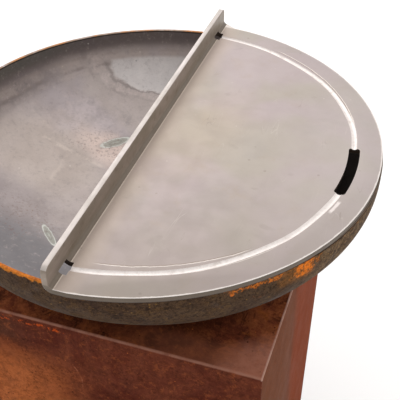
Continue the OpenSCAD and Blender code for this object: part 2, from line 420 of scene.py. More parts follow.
def upstand_steel():
    """The upstand's upright faces, the fold and the plate's round side: the same sheet, duller, and painted
    darker and browner as their shade.
    """
    n = Nodes("upstand_steel")
    _, _, z = n.axes()
    cloud = n.ramp(n.noise(18, 4, 0.6, stretch=(1, 0.35, 1)), 0.35, 0.65)
    n.colour = n.mix(cloud, srgb(136, 124, 110), srgb(153, 139, 128))
    n.lay(n.times(n.ramp(n.noise(60, 4, 0.6, seed=3), 0.5, 0.75), 0.4), srgb(104, 88, 70))
    n.lay(n.times(n.scratches(60, 8, 90, 0.004), 0.3), srgb(168, 156, 146))
    # Painted shade along the fold, just above the plate
    n.lay(n.band(z, PLATE_TOP + 1.2 * MM, 1.4 * MM, 3.4 * MM), srgb(112, 100, 88))
    # Painted shade down the plate's round side
    n.lay(n.ramp(z, PLATE_TOP - 0.5 * MM, PLATE_TOP - 2 * MM, 0.0, 0.9), srgb(98, 86, 75))
    # Painted shadow, darkest at the foot of the plate's side above the bowl's rim
    n.lay(n.ramp(z, RIM_Z + 1.6 * MM, RIM_Z + 0.4 * MM, 0.0, 0.6), srgb(52, 42, 34))
    n.lay(n.times(n.worn_edge(1.0 * MM), 0.3), srgb(190, 176, 164))
    roughness = n.ramp(n.noise(40, 4, 0.6), 0.3, 0.7, 0.46, 0.58)
    return n.finish(roughness, 0.5, 0.5, n.noise(900, 3, 0.6), 0.05 * MM)


def sheared_steel():
    """The upstand's cut top edge: light and slightly streaked along its length."""
    n = Nodes("sheared_steel")
    streaks = n.noise(60, 4, 0.6, stretch=(1, 0.1, 1))
    n.colour = n.mix(n.ramp(streaks, 0.35, 0.65), srgb(184, 175, 168), srgb(204, 194, 190))
    n.lay(n.times(n.ramp(n.noise(40, 4, 0.7, seed=3), 0.55, 0.7), 0.5), srgb(176, 164, 154))
    n.lay(n.times(n.worn_edge(1.2 * MM), 0.6), srgb(214, 205, 200))
    return n.finish(n.ramp(n.noise(50, 3), 0.3, 0.7, 0.42, 0.55), 0.5, 0.5, streaks, 0.08 * MM)


def ground_steel():
    """Freshly ground metal: nearly white, with fine marks."""
    n = Nodes("ground_steel")
    marks = n.noise(230, 4, 0.7)
    n.colour = n.mix(n.ramp(marks, 0.3, 0.7), srgb(224, 215, 210), srgb(234, 226, 222))
    n.lay(n.times(n.ramp(n.noise(70, 4, 0.7, seed=3), 0.5, 0.7), 0.5), srgb(190, 176, 168))
    roughness = n.ramp(n.noise(80, 3), 0.3, 0.7, 0.38, 0.5)
    return n.finish(roughness, 0.45, 0.5, marks, 0.08 * MM)


def arris_steel():
    """The plate's round top arris: sheared bare metal, painted near-white as a highlight along the edge."""
    n = Nodes("arris_steel")
    breaks = n.noise(45, 4, 0.7)
    n.colour = n.mix(n.ramp(breaks, 0.3, 0.5), srgb(226, 216, 208), srgb(252, 248, 244))
    n.lay(n.times(n.worn_edge(1.0 * MM), 0.5), srgb(252, 250, 248))
    return n.finish(n.ramp(breaks, 0.3, 0.7, 0.4, 0.5), 0.0, 0.5, n.noise(600, 3), 0.03 * MM)


def cut_steel():
    """Thermally cut walls of the slot and of the windows: dark brown scale with drag lines."""
    n = Nodes("cut_steel")
    lines = n.noise(500, 2, 0.5, stretch=(1, 1, 0.06))
    n.colour = n.mix(lines, srgb(26, 19, 15), srgb(66, 50, 38))
    n.lay(n.times(n.worn_edge(0.8 * MM), 0.5), srgb(150, 134, 120))
    roughness = n.ramp(n.noise(60, 3), 0.3, 0.7, 0.6, 0.8)
    return n.finish(roughness, 0.0, 0.3, lines, 0.15 * MM)


def bowl_inside():
    """Mill scale: lilac grey and beige blotches, flaked along the knuckle, darker up the wall from dark scale
    and painted shade.
    """
    n = Nodes("bowl_inside")
    x, _, z = n.axes()
    rough_place = n.warped(28, 0.012)
    ragged = n.warped(75, 0.009, 4)
    # Blotches
    n.colour = n.mix(n.ramp(n.noise(6, 5, 0.6, 0.8), 0.36, 0.60), srgb(187, 175, 176), srgb(194, 181, 176))
    n.lay(n.times(n.ramp(n.noise(16, 6, 0.7, 0.6, seed=7), 0.5, 0.68), 0.55), srgb(202, 186, 181))
    n.lay(n.times(n.ramp(n.noise(34, 6, 0.75, 0.5, seed=2), 0.54, 0.7), 0.45), srgb(146, 138, 140))
    # Beige towards the left, pinkish by the straight line
    beige = n.ramp(n.ellipse((-0.235, 0.045), 0.12, 0.11, 20, rough_place), 0.5, 1.2, 0.7, 0.0)
    n.lay(beige, srgb(202, 187, 177))
    pink = n.ramp(n.ellipse((-0.13, 0.11), 0.10, 0.045, -15, rough_place), 0.3, 1.1, 0.85, 0.0)
    n.lay(pink, srgb(236, 214, 203))
    lilac = n.ramp(n.ellipse((-0.20, 0.17), 0.10, 0.05, 40, rough_place), 0.3, 1.1, 0.6, 0.0)
    n.lay(n.times(lilac, n.ramp(n.noise(30, 5, 0.7, seed=6), 0.4, 0.6)), srgb(212, 198, 198))
    left_dark = n.times(n.ramp(x, -0.24, -0.31), n.ramp(z, below_rim(81), below_rim(61)))
    n.lay(n.times(left_dark, 0.8), srgb(134, 123, 121))
    lower_left = n.ramp(n.ellipse((-0.22, -0.10), 0.09, 0.07, 0, rough_place), 0.5, 1.2, 0.7, 0.0)
    n.lay(lower_left, srgb(164, 152, 150))
    # Blue grey on the near side
    near = n.ramp(n.axes(rough_place)[1], -0.09, -0.17, 0.0, 0.9)
    n.lay(near, srgb(118, 116, 119))
    # Faint straight light lines
    for start, end, strength in (
        ((-0.256, 0.080), (-0.126, 0.072), 0.55),
        ((-0.198, 0.084), (-0.196, -0.009), 0.35),
        ((-0.292, 0.118), (-0.224, 0.096), 0.3),
    ):
        streak = n.times(n.line(start, end, 1 * MM, 5 * MM, n.warped(40, 0.004, 2)), strength)
        n.lay(n.times(streak, n.ramp(n.noise(50, 4, 0.7), 0.35, 0.55)), srgb(226, 211, 200))
    # The flaked crease along the knuckle: a light, broken band with darker lines beside it
    crease_z = n.math("ADD", n.axes(n.warped(40, 0.004, 4))[2], n.times(n.noise(7, 2, seed=5), 0.012))
    broken = n.ramp(n.noise(38, 5, 0.75, seed=11), 0.34, 0.60)
    for depth, half, soft, strength, tone in (
        (41, 7, 8, 0.55, srgb(196, 180, 172)),
        (51.5, 0.4, 4.0, 0.45, srgb(122, 108, 102)),
        (59, 1.2, 5.0, 0.35, srgb(206, 190, 183)),
        (34, 0.5, 4.0, 0.15, srgb(130, 118, 112)),
    ):
        n.lay(n.times(n.band(crease_z, below_rim(depth), half * MM, soft * MM), strength, broken), tone)
    # A smooth blue-grey patch below the far wall, with a flaked border
    patch = n.ellipse((-0.088, 0.302), 0.122, 0.034, 15, ragged)
    below_wall = n.ramp(z, below_rim(47), below_rim(55))
    smooth_tone = n.mix(n.ramp(n.noise(30, 3), 0.3, 0.7), srgb(224, 217, 215), srgb(232, 225, 222))
    flakes = n.ramp(n.noise(90, 5, 0.8, seed=3), 0.42, 0.6)
    n.lay(n.times(n.band(patch, 1.16, 0.08, 0.16), flakes, 0.6), srgb(216, 200, 195))
    n.lay(n.times(n.band(patch, 1.40, 0.02, 0.10), broken, 0.3), srgb(146, 134, 131))
    n.lay(n.times(n.ramp(patch, 0.85, 0.98, 0.9, 0), below_wall), smooth_tone)
    n.lay(n.times(n.band(patch, 1.0, 0.01, 0.06), 0.5, below_wall), srgb(132, 124, 121))
    # The wall: darker up the wall, partly dark mill scale and partly painted shade
    wall_z = n.math("ADD", z, n.times(n.math("SUBTRACT", n.noise(14, 4, 0.6, seed=9), 0.5), 0.012))
    n.lay(n.ramp(wall_z, below_rim(45), below_rim(19), 0, 0.9), srgb(116, 104, 101))
    olive = n.mix(n.ramp(x, -0.34, -0.22), srgb(94, 96, 88), srgb(108, 98, 96))
    drift = n.times(n.ramp(n.noise(10, 4, 0.6, 0.3, (1, 1, 0.4), 8), 0.4, 0.6), 0.5)
    wall_scale_and_shade = n.mix(drift, olive, srgb(112, 102, 96))
    n.lay(n.ramp(wall_z, below_rim(33), below_rim(10)), wall_scale_and_shade)
    # Oval heat marks over the feet
    for angle in FOOT_ANGLES:
        a = math.radians(angle)
        centre = (FOOT_RADIUS * math.cos(a), FOOT_RADIUS * math.sin(a))
        half_width = (7.5 if a < math.pi else 5.5) * MM
        mark = n.ellipse(centre, 26 * MM, half_width, angle + 90, n.warped(90, 0.0022, 6))
        n.lay(n.ramp(mark, 1.2, 1.6, 0.3, 0.0), srgb(160, 150, 146))
        n.lay(n.ramp(mark, 0.85, 0.98, 0.85, 0.0), srgb(172, 172, 161))
        n.lay(n.times(n.band(mark, 0.45, 0.03, 0.12), 0.4), srgb(132, 130, 122))
        n.lay(n.ramp(mark, 0.12, 0.28, 0.6, 0.0), srgb(198, 200, 188))
        n.lay(n.times(n.band(mark, 1.02, 0.05, 0.12), 0.9), srgb(222, 224, 216))
    # Specks and rust dots
    zone = n.math(
        "MAXIMUM",
        n.ramp(n.ellipse((-0.155, 0.118), 0.07, 0.045, 0, rough_place), 0.5, 1.2, 1, 0),
        n.ramp(n.ellipse((-0.20, -0.125), 0.075, 0.055, 0, rough_place), 0.5, 1.3, 1, 0),
    )
    n.lay(n.times(n.specks(150, 0.26, 2, 0.4), zone, 0.5), srgb(140, 104, 92))
    n.lay(n.times(n.ramp(n.noise(170, 4, 0.7, seed=8), 0.54, 0.62), zone, 0.4), srgb(124, 96, 90))
    n.lay(n.times(n.specks(60, 0.11, 5, 0.12), 0.6), srgb(228, 218, 212))
    n.lay(n.times(n.specks(45, 0.10, 9, 0.08), 0.4), srgb(106, 94, 90))
    n.lay(n.times(n.ramp(n.noise(120, 6, 0.8, seed=23), 0.5, 0.66), 0.3), srgb(146, 134, 132))
    n.lay(n.times(n.ramp(n.noise(90, 6, 0.8, seed=27), 0.54, 0.68), 0.3), srgb(214, 199, 193))
    n.lay(n.times(n.noise(330, 4, 0.75, seed=3), 0.22), srgb(132, 122, 120))
    # Painted shade under the griddle: darker under the plate, near black further under it, and grey under the
    # near window
    n.lay(n.ramp(x, 0.00, 0.06, 0, 0.8), srgb(84, 76, 73))
    n.lay(n.ramp(x, 0.14, 0.20, 0, 0.9), srgb(34, 24, 20))
    n.lay(n.ramp(n.ellipse((0.0, -0.31), 0.04, 0.05), 0.7, 1.0, 0.9, 0), srgb(116, 110, 112))
    # Near-black line under the rim
    n.lay(n.ramp(z, RIM_Z - 4.5 * MM, RIM_Z - 2.5 * MM, 0.0, 0.85), srgb(48, 36, 32))
    roughness = n.ramp(n.noise(25, 5, 0.7, seed=4), 0.35, 0.65, 0.48, 0.66)
    height = n.math("ADD", n.noise(260, 5, 0.7), n.times(n.ramp(patch, 0.95, 1.02), 0.5))
    return n.finish(roughness, 0.3, 0.4, height, 0.15 * MM)


def bowl_outside():
    """Dark mill scale: grey brown with olive and brown speckle and some fresh rust."""
    n = Nodes("bowl_outside")
    _, _, z = n.axes()
    _, angle = n.polar()
    ragged_z = n.axes(n.warped(110, 0.009, 2))[2]
    ragged_angle = n.math("ADD", angle, n.ramp(n.noise(110, 5, 0.75, seed=6), 0.2, 0.8, -2.6, 2.6))
    n.colour = n.mix(n.ramp(n.noise(9, 5, 0.65, 0.5), 0.38, 0.62), srgb(64, 46, 35), srgb(80, 60, 43))
    n.lay(n.times(n.ramp(n.noise(45, 6, 0.8, 0.5, seed=1), 0.50, 0.64), 0.65), srgb(92, 67, 40))
    n.lay(n.times(n.ramp(n.noise(120, 5, 0.8, seed=5), 0.50, 0.62), 0.75), srgb(36, 24, 17))
    blue = n.times(n.ramp(n.noise(16, 4, 0.6, seed=14), 0.55, 0.68), 0.6)
    n.lay(blue, srgb(80, 68, 64))
    n.lay(n.times(n.specks(130, 0.22, 3, 0.12), 0.7), srgb(138, 102, 50))
    n.lay(n.times(n.ramp(n.noise(200, 4, 0.8, seed=17), 0.6, 0.68), 0.5), srgb(128, 92, 52))
    # Tan mottling on the right
    tan = n.times(n.band(ragged_angle, -17, 13, 8), n.ramp(n.noise(130, 5, 0.8, seed=9), 0.42, 0.60))
    n.lay(n.times(tan, 0.7), srgb(134, 108, 78))
    # Rust streak under the griddle's edge, with a dot beside it
    breaks = n.ramp(n.noise(170, 4, 0.8), 0.42, 0.52)
    under = n.times(n.band(ragged_angle, -48, 5, 3), n.band(ragged_z, below_rim(8.5), 1.8 * MM, 2.5 * MM))
    under = n.times(under, breaks)
    n.lay(n.times(under, 0.9), srgb(206, 112, 34))
    thin = n.times(n.band(angle, -50, 32, 8), n.ramp(ragged_z, below_rim(5.5), below_rim(3.5)))
    thin = n.times(thin, n.ramp(n.noise(70, 4, 0.8, seed=3), 0.45, 0.6))
    n.lay(n.times(thin, 0.6), srgb(160, 100, 40))
    # The large patch of fresh rust
    spot = n.times(
        n.band(ragged_angle, -35.2, 1.2, 2.2),
        n.band(ragged_z, below_rim(13), 0.009, 0.009),
        n.ramp(n.noise(190, 4, 0.8, seed=2), 0.38, 0.48),
    )
    halo = n.times(n.band(ragged_angle, -37.5, 3, 3), n.band(ragged_z, below_rim(15), 0.013, 0.010), 0.5)
    n.lay(halo, srgb(142, 92, 42))
    n.lay(spot, srgb(226, 120, 32))
    across = n.times(n.math("ADD", angle, 53.5), math.radians(1) * BOWL_R)
    up = n.math("SUBTRACT", z, below_rim(14))
    dot = n.math("SQRT", n.math("ADD", n.times(across, across), n.times(up, up)))
    n.lay(n.ramp(dot, 2.2 * MM, 3.8 * MM, 0.95, 0), srgb(202, 108, 38))
    spread = n.ramp(n.noise(14, 5, 0.7, seed=12), 0.58, 0.68)
    spread = n.times(spread, n.ramp(n.noise(150, 4, 0.8), 0.48, 0.6))
    n.lay(n.times(spread, 0.5), srgb(154, 92, 44))
    # Painted shadow under the plate's edge: a near-black line at the top of the wall
    plate_edge_shadow = n.times(n.ramp(z, below_rim(4.5), below_rim(2.5)), n.ramp(n.axes()[0], -0.03, 0.0), 0.85)
    n.lay(plate_edge_shadow, srgb(16, 11, 8))
    # Rust that has run over from the near left of the rim
    spill = n.times(n.band(angle, -112, 24, 8), n.ramp(ragged_z, below_rim(4.5), below_rim(2.5)), 0.9)
    n.lay(spill, srgb(206, 122, 36))
    n.lay(n.times(n.ramp(n.noise(260, 5, 0.85, seed=33), 0.48, 0.60), 0.6), srgb(28, 19, 14))
    n.lay(n.times(n.ramp(n.noise(240, 5, 0.85, seed=37), 0.56, 0.66), 0.5), srgb(122, 92, 58))
    roughness = n.ramp(n.noise(40, 5, 0.7), 0.35, 0.65, 0.6, 0.8)
    return n.finish(roughness, 0.0, 0.06, n.noise(240, 6, 0.75), 0.25 * MM)


def rim_steel():
    """The bowl's cut rim: tan and lilac-white bare metal with orange rust, strongest on the near left."""
    n = Nodes("rim_steel")
    x, _, _ = n.axes()
    _, angle = n.polar()
    n.colour = n.mix(n.ramp(n.noise(30, 4, 0.7), 0.4, 0.6), srgb(152, 122, 98), srgb(178, 158, 146))
    n.lay(n.ramp(n.noise(14, 4, 0.7, seed=4), 0.5, 0.6, 0, 0.8), srgb(196, 128, 66))
    n.lay(n.ramp(n.noise(40, 4, 0.7, seed=8), 0.62, 0.68), srgb(206, 196, 204))
    near = n.band(n.math("ADD", angle, n.ramp(n.noise(30, 3), 0, 1, -3, 3)), -112, 24, 8)
    rust = n.mix(n.ramp(n.noise(150, 5, 0.75), 0.35, 0.65), srgb(156, 80, 18), srgb(218, 126, 30))
    n.lay(n.times(near, n.ramp(n.noise(60, 4, 0.7, seed=3), 0.26, 0.38)), rust)
    # Painted shade where the griddle lies on the rim
    n.lay(n.ramp(x, 0.0, 0.05, 0.0, 0.9), srgb(92, 78, 66))
    return n.finish(n.ramp(n.noise(60, 4), 0.3, 0.7, 0.55, 0.8), 0.0, 0.25, n.noise(300, 5, 0.7), 0.2 * MM)


def rusted_steel(name, face):
    """Weathering steel with a matt red-brown patina. The face is front, right or inner."""
    n = Nodes(name)
    x, y, z = n.axes()
    soft = n.warped(12, 0.03, 3)
    grain = n.ramp(n.noise(70, 6, 0.8, 0.4, seed=8), 0.40, 0.62)
    if face == "right":
        # Smoother: grey brown at the front, a painted reflection, and orange brown behind a soft sloping
        # boundary
        side = n.math("ADD", n.axes(soft)[1], n.times(z, 0.11))
        flow = n.ramp(n.noise(9, 4, 0.6, 0.3, (1, 1, 0.4)), 0.35, 0.65)
        n.colour = n.mix(flow, srgb(112, 68, 47), srgb(116, 71, 49))
        behind = n.mix(flow, srgb(125, 55, 24), srgb(130, 59, 26))
        n.lay(n.ramp(side, 0.025, 0.10), behind)
        n.lay(n.times(n.band(side, 0.05, 0.006, 0.02), 0.3), srgb(96, 56, 40))
        n.lay(n.times(grain, 0.2), srgb(84, 42, 28))
    else:
        cloud = n.ramp(n.noise(7, 6, 0.65, 0.8), 0.38, 0.62)
        n.colour = n.mix(cloud, srgb(86, 37, 26), srgb(112, 58, 40))
        # The front warms to brown orange towards the lower left
        soft_x, _, soft_z = n.axes(soft)
        warm = n.times(n.ramp(soft_x, 0.0, -0.16), n.ramp(soft_z, TOP_Z - 0.04, TOP_Z - 0.16))
        n.lay(n.times(warm, 0.9), srgb(182, 102, 56))
        at_edge = n.times(n.ramp(x, 0.06 - HALF_W, 0.005 - HALF_W), n.ramp(z, TOP_Z - 0.05, TOP_Z - 0.10))
        n.lay(n.times(at_edge, 0.8), srgb(156, 72, 36))
        at_left = n.ramp(n.ellipse((-0.20, 0), 0.09, 2, 0, soft), 0.4, 1.0, 1, 0)
        dull = n.times(at_left, n.band(soft_z, TOP_Z - 0.04, 0.015, 0.03))
        n.lay(n.times(dull, 0.8), srgb(84, 50, 36))
        # The top: painted shade under the bowl, darker in the middle; pinkish at the near right corner
        under_bowl_shade = n.ramp(n.ellipse((0, 0), 0.25, 0.25, 0, soft), 0.75, 1.1, 0.85, 0.0)
        mottling = n.ramp(n.noise(16, 6, 0.7, 1.0, seed=5), 0.42, 0.60)
        mottled = n.mix(mottling, srgb(106, 52, 34), srgb(148, 82, 48))
        mottled = n.mix(under_bowl_shade, mottled, srgb(58, 24, 10))
        blots = n.times(n.ramp(n.noise(17, 6, 0.75, 0.9, seed=15), 0.50, 0.60), 0.8)
        mottled = n.mix(blots, mottled, srgb(50, 22, 12))
        wisps = n.times(n.ramp(n.noise(30, 6, 0.75, 1.5, seed=19), 0.56, 0.64), 0.5)
        mottled = n.mix(wisps, mottled, srgb(160, 88, 38))
        on_top = n.ramp(z, TOP_Z - 3 * MM, TOP_Z - 1 * MM)
        n.lay(on_top, mottled)
        n.lay(n.times(grain, 0.4), srgb(54, 24, 14))
        n.lay(n.times(n.ramp(n.noise(85, 6, 0.8, seed=21), 0.52, 0.66), 0.45), srgb(156, 84, 48))
        patchy = n.ramp(n.noise(20, 4), 0.35, 0.65, 0.15, 0.6)
        stipple = n.times(n.ramp(n.noise(210, 5, 0.8, seed=31), 0.48, 0.62), patchy)
        n.lay(stipple, srgb(50, 20, 12))
        corner = n.ramp(n.ellipse((HALF_W - 0.01, 0.015 - HALF_W), 0.11, 0.05, 35, soft), 0.2, 1.3, 0.75, 0.0)
        corner = n.times(corner, on_top, n.ramp(n.noise(60, 6, 0.8, seed=41), 0.3, 0.6, 0.6, 1.0))
        n.lay(corner, srgb(196, 134, 112))
        near_front = n.times(n.band(y, 0.015 - HALF_W, 0.015, 0.03), n.ramp(x, 0.0, 0.12), on_top, 0.4)
        n.lay(near_front, srgb(150, 92, 70))
    # Dark pits and small fresh rust dots
    n.lay(n.times(n.ramp(n.noise(190, 5, 0.8, seed=4), 0.56, 0.68), 0.4), srgb(160, 88, 52))
    pits = n.specks(95, 0.17, 2, 0.16)
    n.lay(n.times(pits, 0.7), srgb(42, 18, 12))
    n.lay(n.times(n.specks(120, 0.13, 6, 0.08), 0.8), srgb(200, 108, 52))
    if face == "front":
        on_front = n.ramp(y, 0.01 - HALF_W, 0.005 - HALF_W)
        # Rust streaks just under the front fold, towards the left
        ragged_x, _, ragged_z = n.axes(n.warped(60, 0.012, 6))
        streak = n.band(ragged_z, TOP_Z - 13 * MM, 0.5 * MM, 4 * MM)
        streak = n.times(streak, n.band(ragged_x, -0.17, 0.09, 0.04))
        streak = n.times(streak, n.ramp(n.noise(90, 5, 0.8, seed=7), 0.52, 0.58), on_front)
        n.lay(n.times(streak, 0.85), srgb(206, 84, 28))
        # A thin curved scratch
        below = n.math("SUBTRACT", z, TOP_Z - 0.125)
        curve = n.math("ADD", x, n.times(below, below, 9.0))
        mark = n.times(n.band(curve, -0.041, 0.5 * MM, 0.8 * MM), n.band(z, TOP_Z - 0.11, 0.028, 0.006))
        mark = n.times(mark, on_front)
        n.lay(n.times(mark, n.ramp(n.noise(60, 3), 0.4, 0.55), 0.6), srgb(170, 104, 76))
        # The folds get a soft pink, partly rubbed wear and partly a painted highlight along the ridge, and
        # the welded ends of the top are ground
        across = n.math("SUBTRACT", n.math("ABSOLUTE", y), HALF_W - FOLD_R)
        fold = n.ramp(n.math("MINIMUM", across, n.math("SUBTRACT", z, TOP_Z - FOLD_R)), 0.6 * MM, 3.0 * MM)
        rub_and_sheen = n.ramp(n.noise(35, 5, 0.7, seed=9), 0.3, 0.6, 0.35, 0.85)
        n.lay(n.times(fold, rub_and_sheen), srgb(164, 116, 98))
        edge = n.ramp(n.math("ABSOLUTE", x), HALF_W - 3.2 * MM, HALF_W - 1.4 * MM)
        ground = n.times(edge, n.ramp(z, TOP_Z - 6 * MM, TOP_Z - 2 * MM), rub_and_sheen)
        n.lay(ground, srgb(204, 164, 148))
    n.lay(n.times(n.noise(420, 4, 0.8, seed=6), 0.22), srgb(48, 22, 14))
    wear = n.times(n.worn_edge(2 * MM), n.ramp(n.noise(35, 4, 0.7, seed=9), 0.3, 0.6, 0.1, 0.6))
    n.lay(wear, srgb(158, 108, 86))
    roughness = n.ramp(n.noise(30, 5, 0.7), 0.35, 0.65, 0.7, 0.9)
    height = n.math("ADD", n.noise(120, 6, 0.75), n.times(pits, -0.5))
    return n.finish(roughness, 0.0, 0.03, height, (0.12 if face == "right" else 0.3) * MM)


def weld_metal():
    n = Nodes("weld_metal")
    n.colour = n.mix(n.noise(60, 4, 0.6), srgb(92, 84, 80), srgb(140, 130, 124))
    n.lay(n.times(n.ramp(n.noise(35, 4, 0.7, seed=2), 0.5, 0.65), 0.7), srgb(128, 88, 60))
    n.lay(n.times(n.worn_edge(1.5 * MM), 0.5), srgb(176, 166, 158))
    return n.finish(n.ramp(n.noise(80, 3), 0.3, 0.7, 0.4, 0.65), 0.5, 0.5, n.noise(300, 4, 0.6), 0.2 * MM)


def foot_steel():
    """Hot-rolled flat bar: blue-grey scale with brown at the edges."""
    n = Nodes("foot_steel")
    n.colour = n.mix(n.ramp(n.noise(20, 5, 0.65, 0.5), 0.4, 0.6), srgb(74, 70, 70), srgb(96, 86, 78))
    n.lay(n.times(n.ramp(n.noise(70, 5, 0.75, seed=3), 0.55, 0.68), 0.7), srgb(132, 88, 56))
    n.lay(n.times(n.worn_edge(2 * MM), 0.6), srgb(136, 118, 104))
    return n.finish(n.ramp(n.noise(50, 4), 0.3, 0.7, 0.5, 0.7), 0.3, 0.4, n.noise(260, 5, 0.7), 0.2 * MM)


GRIDDLE_FINISHES = [
    griddle_steel(), ground_steel(), upstand_steel(), cut_steel(), sheared_steel(), arris_steel()
]
PLATE, GROUND, UPSTAND, CUT, SHEARED, ARRIS = range(6)
BOWL_FINISHES = [bowl_inside(), bowl_outside(), rim_steel()]
INSIDE, OUTSIDE, RIM = range(3)
SHELL_RUST = rusted_steel("rusted_shell", "front")
PANEL_RUST = rusted_steel("rusted_panel", "right")
INNER_RUST = rusted_steel("rusted_inner", "inner")
WELD = weld_metal()
FOOT_STEEL = foot_steel()


# ---------------------------------------------------------------- griddle

def griddle_blank():
    """The folded plate before its openings. At its far end the upstand runs on by UPSTAND_OVER."""
    fold_x = UPSTAND_X + GRIDDLE_T + GRIDDLE_FOLD_R
    fold_z = GRIDDLE_T + GRIDDLE_FOLD_R
    top_z = UPSTAND_TOP - RIM_Z
    corner_steps, fold_steps = 8, 10
    # Each station: half length, then (x, z) on the inner and on the outer face
    stations = []
    for i in range(corner_steps + 1):
        a = math.pi / 2 * (1 - i / corner_steps)
        z = top_z - UPSTAND_CORNER_R * (1 - math.sin(a))
        half = UPSTAND_HALF - UPSTAND_CORNER_R * (1 - math.cos(a))
        stations.append((half, (UPSTAND_X + GRIDDLE_T, z), (UPSTAND_X, z)))
    for i in range(fold_steps + 1):
        a = math.pi * (1 + 0.5 * i / fold_steps)
        c, s = math.cos(a), math.sin(a)
        inner = (fold_x + GRIDDLE_FOLD_R * c, fold_z + GRIDDLE_FOLD_R * s)
        outer = (fold_x + (GRIDDLE_FOLD_R + GRIDDLE_T) * c, fold_z + (GRIDDLE_FOLD_R + GRIDDLE_T) * s)
        stations.append((UPSTAND_HALF, inner, outer))
    verts, faces = [], []
    for half, inner, outer in stations:
        for x, z in (inner, outer):
            verts += [(x, -half, z), (x, half + UPSTAND_OVER, z)]
    for k in range(len(stations) - 1):
        a, b = 4 * k, 4 * (k + 1)
        faces += [[a, a + 1, b + 1, b], [a + 2, b + 2, b + 3, a + 3]]
        faces += [[a, b, b + 2, a + 2], [a + 1, a + 3, b + 3, b + 1]]
    faces.append([0, 2, 3, 1])
    # The half disc, as one face above and one below
    last = 4 * (len(stations) - 1)
    start = math.asin(UPSTAND_HALF / GRIDDLE_R)
    rim = arc((0, 0), GRIDDLE_R, -start, start, 128)
    first = len(verts)
    for x, y in rim:
        verts += [(x, y, GRIDDLE_T), (x, y, 0)]
    count = len(rim)
    faces.append([last] + [first + 2 * i for i in range(count)] + [last + 1])
    faces.append(([last + 2] + [first + 2 * i + 1 for i in range(count)] + [last + 3])[::-1])
    for i in range(count - 1):
        a = first + 2 * i
        faces.append([a, a + 1, a + 3, a + 2])
    faces.append([last, last + 2, first + 1, first])
    end = first + 2 * (count - 1)
    faces.append([last + 1, end, end + 1, last + 3])
    return verts, faces


def groove_cutter():
    """A tube along the groove, a little uneven, as a hand-guided grinder leaves it."""
    rng = random.Random(11)
    reach = math.radians(86)
    steps, sides = 120, 14
    bore = (GROOVE_W ** 2 / 4 + GROOVE_DEPTH ** 2) / (2 * GROOVE_DEPTH)
    waves = [(rng.uniform(4, 26), rng.uniform(0, 6.28), rng.uniform(0.1, 0.35) * MM) for _ in range(6)]
    depths = [(rng.uniform(5, 30), rng.uniform(0, 6.28), rng.uniform(0.05, 0.16) * MM) for _ in range(5)]
    verts, faces = [], []
    for i in range(steps + 1):
        a = -reach + 2 * reach * i / steps
        r = GROOVE_R + sum(s * math.sin(f * a + p) for f, p, s in waves)
        z = GRIDDLE_T + bore - GROOVE_DEPTH + sum(s * math.sin(f * a + p) for f, p, s in depths)
        for k in range(sides):
            b = 2 * math.pi * k / sides
            d = r + bore * math.cos(b)
            verts.append((d * math.cos(a), d * math.sin(a), z + bore * math.sin(b)))
    for i in range(steps):
        for k in range(sides):
            m = (k + 1) % sides
            faces.append([i * sides + k, i * sides + m, (i + 1) * sides + m, (i + 1) * sides + k])
    faces.append(list(range(sides)))
    faces.append([steps * sides + k for k in range(sides)][::-1])
    return verts, faces


def slot_cutter():
    inner, outer = GROOVE_R - SLOT_HALF_W, GROOVE_R + SLOT_HALF_W
    c = SLOT_CORNER_R
    inner_turn, outer_turn = math.asin(c / (inner + c)), math.asin(c / (outer - c))
    quarter = math.pi / 2
    # Angle left out where one arc meets the next, so that no point repeats
    gap = 0.1

    def corner(radius, at, from_angle, to_angle):
        return arc((radius * math.cos(at), radius * math.sin(at)), c, from_angle, to_angle, 8)

    outline = arc((0, 0), outer, SLOT_FROM + outer_turn, SLOT_TO - outer_turn, 24)
    outline += corner(outer - c, SLOT_TO - outer_turn, SLOT_TO - outer_turn + gap, SLOT_TO + quarter)
    outline += corner(inner + c, SLOT_TO - inner_turn, SLOT_TO + quarter + gap, SLOT_TO + 2 * quarter - gap)
    outline += arc((0, 0), inner, SLOT_TO - inner_turn, SLOT_FROM + inner_turn, 24)
    outline += corner(inner + c, SLOT_FROM + inner_turn, SLOT_FROM - 2 * quarter + gap, SLOT_FROM - quarter)
    outline += corner(outer - c, SLOT_FROM + outer_turn, SLOT_FROM - quarter + gap, SLOT_FROM - gap)
    return prism(outline, -1 * MM, GRIDDLE_T + 1 * MM)


def window_cutter(side):
    y = side * GROOVE_R
    x0, x1 = UPSTAND_X - 1 * MM, UPSTAND_X + GRIDDLE_T + WINDOW_REACH
    outline = [(x0, y - WINDOW_W / 2), (x1, y - WINDOW_W / 2), (x1, y + WINDOW_W / 2), (x0, y + WINDOW_W / 2)]
    return prism(outline, -1 * MM, GRIDDLE_T + WINDOW_RISE)


def build_griddle():
    griddle = new_object("griddle", *griddle_blank(), materials=GRIDDLE_FINISHES)
    fold_x = UPSTAND_X + GRIDDLE_T + GRIDDLE_FOLD_R
    for polygon in griddle.data.polygons:
        if polygon.center.z > GRIDDLE_T + FOLD_LINE and polygon.center.x < fold_x:
            on_top = polygon.normal.z > 0.5 and polygon.center.z > GRIDDLE_T + GRIDDLE_FOLD_R
            polygon.material_index = SHEARED if on_top else UPSTAND
        else:
            polygon.material_index = UPSTAND if abs(polygon.normal.z) < 0.1 else PLATE
    bevel(griddle, 1.2 * MM, material=ARRIS)
    # The arrises of the upstand stay dull, without the painted highlight, and so does the plate's lower one
    for polygon in griddle.data.polygons:
        height = polygon.center.z
        if polygon.material_index == ARRIS and (height > GRIDDLE_T + FOLD_LINE or height < GRIDDLE_T / 2):
            polygon.material_index = UPSTAND
    cut_with(griddle, new_object("cutter", *groove_cutter(), materials=GRIDDLE_FINISHES), GROUND)
    for verts, faces in (slot_cutter(), window_cutter(-1), window_cutter(1)):
        cut_with(griddle, new_object("cutter", verts, faces, materials=GRIDDLE_FINISHES), CUT)
    griddle.data.transform(Matrix.Translation((-GRIDDLE_BACK, 0, RIM_Z)))
    smooth(griddle, 30)
    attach(griddle, "griddle")
    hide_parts("griddle_plate")


# ---------------------------------------------------------------- bowl

